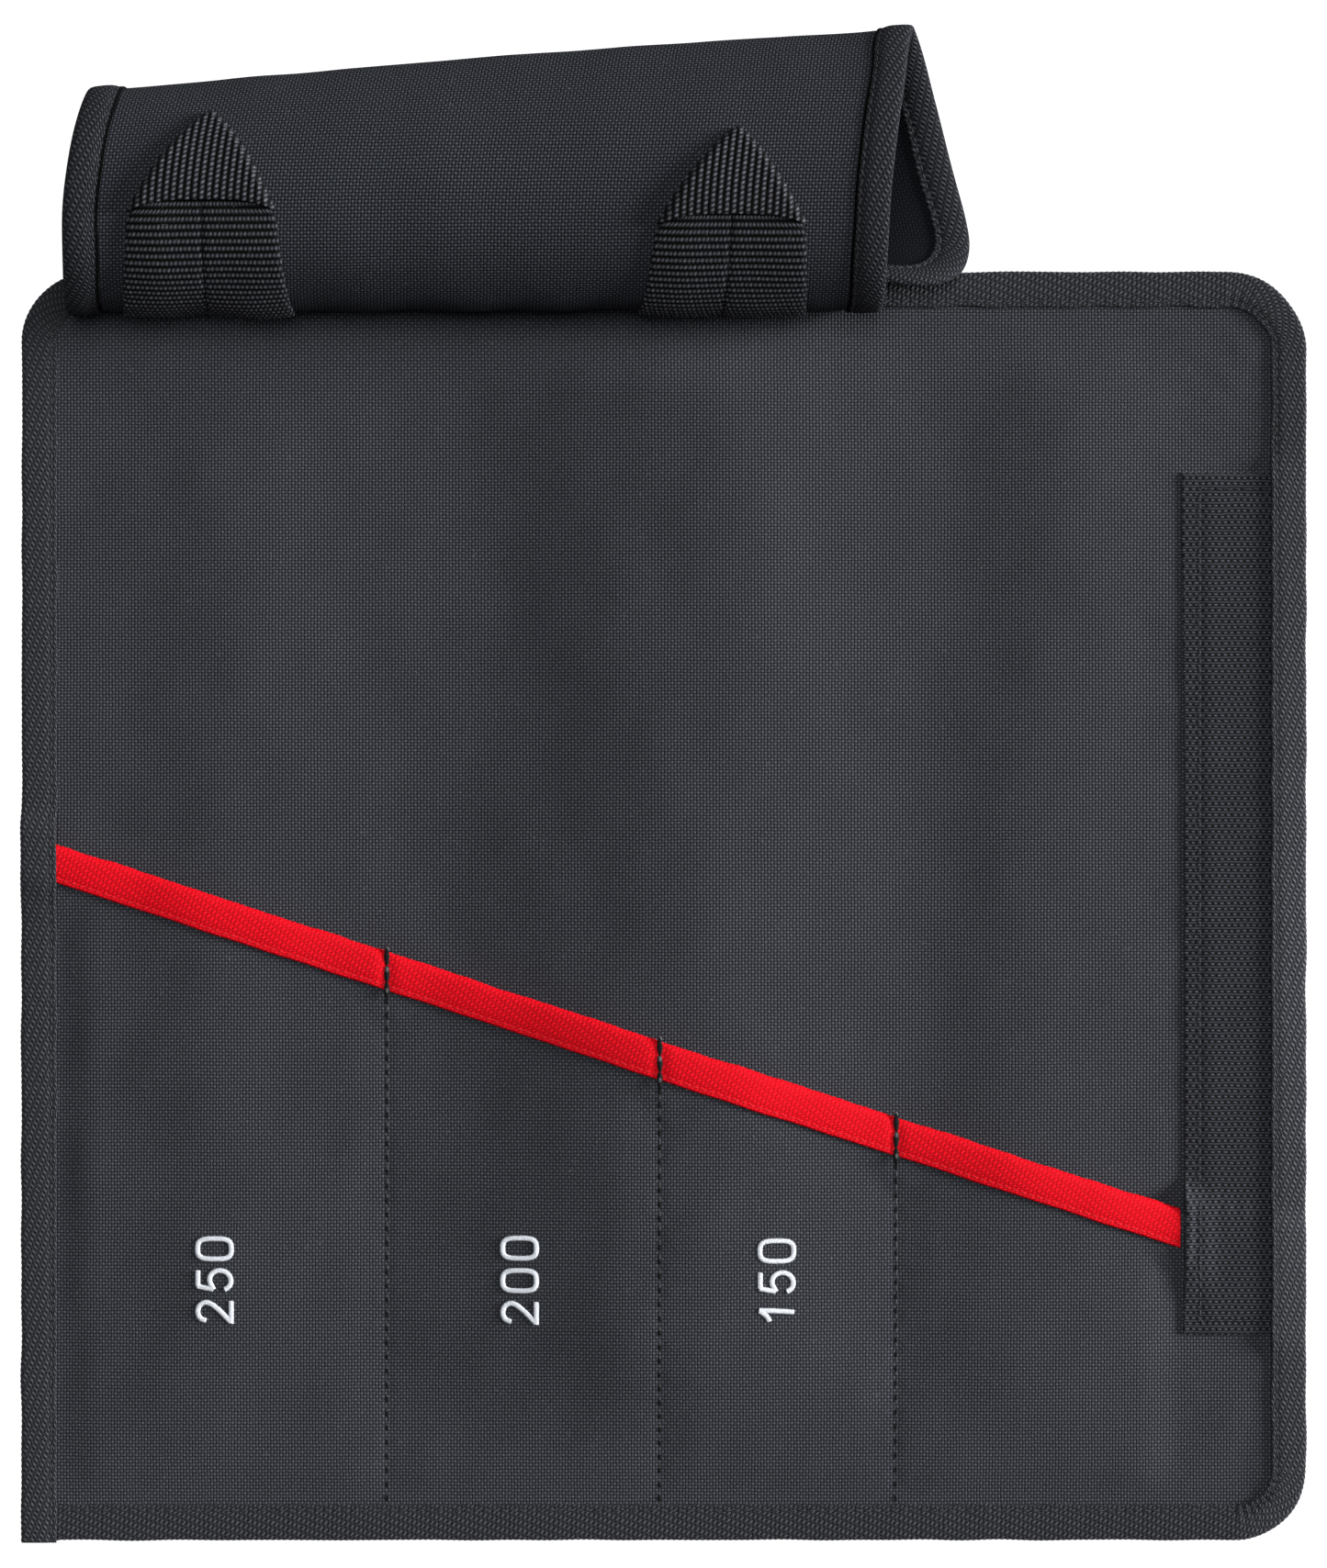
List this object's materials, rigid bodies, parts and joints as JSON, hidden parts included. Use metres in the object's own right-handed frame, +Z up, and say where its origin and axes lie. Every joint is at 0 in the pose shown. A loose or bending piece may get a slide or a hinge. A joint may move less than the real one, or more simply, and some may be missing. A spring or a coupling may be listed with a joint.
{
  "type": "tool roll",
  "caption": "Woven cloth tool roll laid open, with taped edges, slanted pockets, a closure strip and a turned-over flap with webbing hang loops.",
  "frame": {"origin": "middle of the laid-out roll's outline, on the surface that it lies on", "axes": "+Y from the pockets towards the flap, +X towards the closure strip, +Z up off the surface, out of the front"},
  "size_m": [0.4, 0.4711, 0.0479],
  "materials": {
    "cloth": "plain woven heavy polyester, matt",
    "tape": "twill binding tape, matt",
    "red_tape": "smooth woven binding tape, satin",
    "closure": "knitted loop pile",
    "webbing": "ribbed webbing"
  },
  "bodies": {
    "root": {"back_panel": "cloth", "edge_binding": "tape", "pocket_sheet": "cloth", "pocket_binding": "red_tape", "closure_strip": "closure", "flap": "cloth", "flap_binding": "tape", "hang_loop_left": "webbing", "hang_loop_right": "webbing"}
  },
  "joints": []
}
